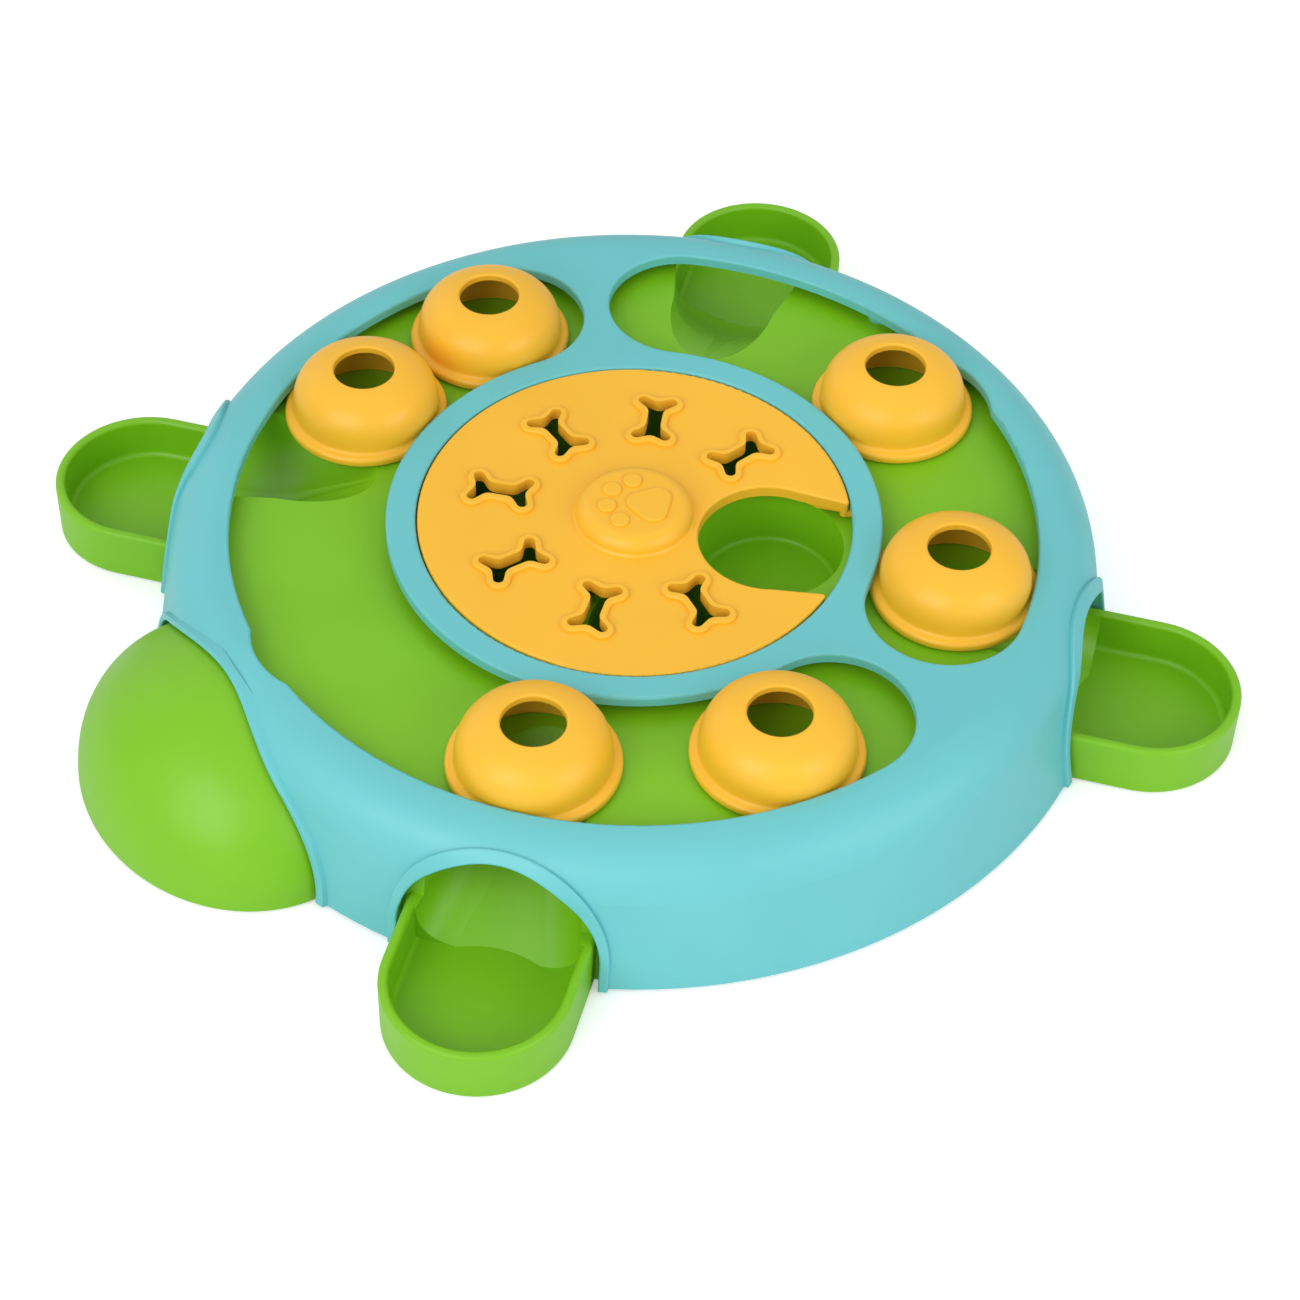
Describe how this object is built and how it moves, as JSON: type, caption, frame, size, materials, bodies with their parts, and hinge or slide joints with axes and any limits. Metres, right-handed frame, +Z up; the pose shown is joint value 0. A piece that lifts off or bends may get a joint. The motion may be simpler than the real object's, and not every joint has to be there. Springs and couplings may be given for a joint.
{
  "type": "dog puzzle feeder toy",
  "caption": "Flat turtle-shaped treat puzzle for dogs: hollow domes slide in curved slots, a disc with a cut-out turns over cups, ramps lead to leg trays.",
  "frame": {"origin": "on the surface the toy stands on, below the middle of its length and width", "axes": "+Z up, -Y towards the turtle's head, +X to the right seen from behind the tail"},
  "size_m": [0.2672, 0.2985, 0.052],
  "materials": {
    "shell_plastic": "satin moulded plastic, blue",
    "base_plastic": "satin moulded plastic, green",
    "toy_yellow": "satin moulded plastic, yellow",
    "screw_steel": "zinc plated",
    "pad_rubber": "soft anti-slip rubber"
  },
  "bodies": {
    "housing": {"track_floor": "base_plastic", "hub": "base_plastic", "cup_1": "base_plastic", "cup_2": "base_plastic", "cup_3": "base_plastic", "cup_4": "base_plastic", "cup_5": "base_plastic", "leg_1": "base_plastic", "leg_2": "base_plastic", "leg_3": "base_plastic", "leg_4": "base_plastic", "head": "base_plastic", "top_shell": "shell_plastic", "top_ring": "shell_plastic", "rim_screws": "screw_steel", "bridge_screws": "screw_steel", "foot_pad_1": "pad_rubber", "foot_pad_2": "pad_rubber", "foot_pad_3": "pad_rubber", "foot_pad_4": "pad_rubber"},
    "disc": {"centre_disc": "toy_yellow", "pivot_screw": "screw_steel", "pivot_washer": "screw_steel"},
    "slider_1": {"slider_1": "toy_yellow"},
    "slider_2": {"slider_2": "toy_yellow"},
    "slider_3": {"slider_3": "toy_yellow"},
    "slider_4": {"slider_4": "toy_yellow"},
    "slider_5": {"slider_5": "toy_yellow"},
    "slider_6": {"slider_6": "toy_yellow"}
  },
  "joints": [
    {"name": "disc_spin", "type": "hinge", "parent": "housing", "child": "disc", "pos_m": [0, 0.01565, 0.03], "axis": [0, 0, 1], "continuous": true},
    {"name": "slider_1_travel", "type": "hinge", "parent": "housing", "child": "slider_1", "pos_m": [0, 0.01565, 0.0345], "axis": [0, 0, 1], "range_deg": [-4.2, 0]},
    {"name": "slider_2_travel", "type": "hinge", "parent": "housing", "child": "slider_2", "pos_m": [0, 0.01565, 0.0345], "axis": [0, 0, 1], "range_deg": [0, 37.2]},
    {"name": "slider_3_travel", "type": "hinge", "parent": "housing", "child": "slider_3", "pos_m": [0, 0.01565, 0.0345], "axis": [0, 0, 1], "range_deg": [-9.1, 46.4]},
    {"name": "slider_4_travel", "type": "hinge", "parent": "housing", "child": "slider_4", "pos_m": [0, 0.01565, 0.0345], "axis": [0, 0, 1], "range_deg": [-7.9, 9.1]},
    {"name": "slider_5_travel", "type": "hinge", "parent": "housing", "child": "slider_5", "pos_m": [0, 0.01565, 0.0345], "axis": [0, 0, 1], "range_deg": [-37.2, 5.5]},
    {"name": "slider_6_travel", "type": "hinge", "parent": "housing", "child": "slider_6", "pos_m": [0, 0.01565, 0.0345], "axis": [0, 0, 1], "range_deg": [-5.5, 10.8]}
  ]
}
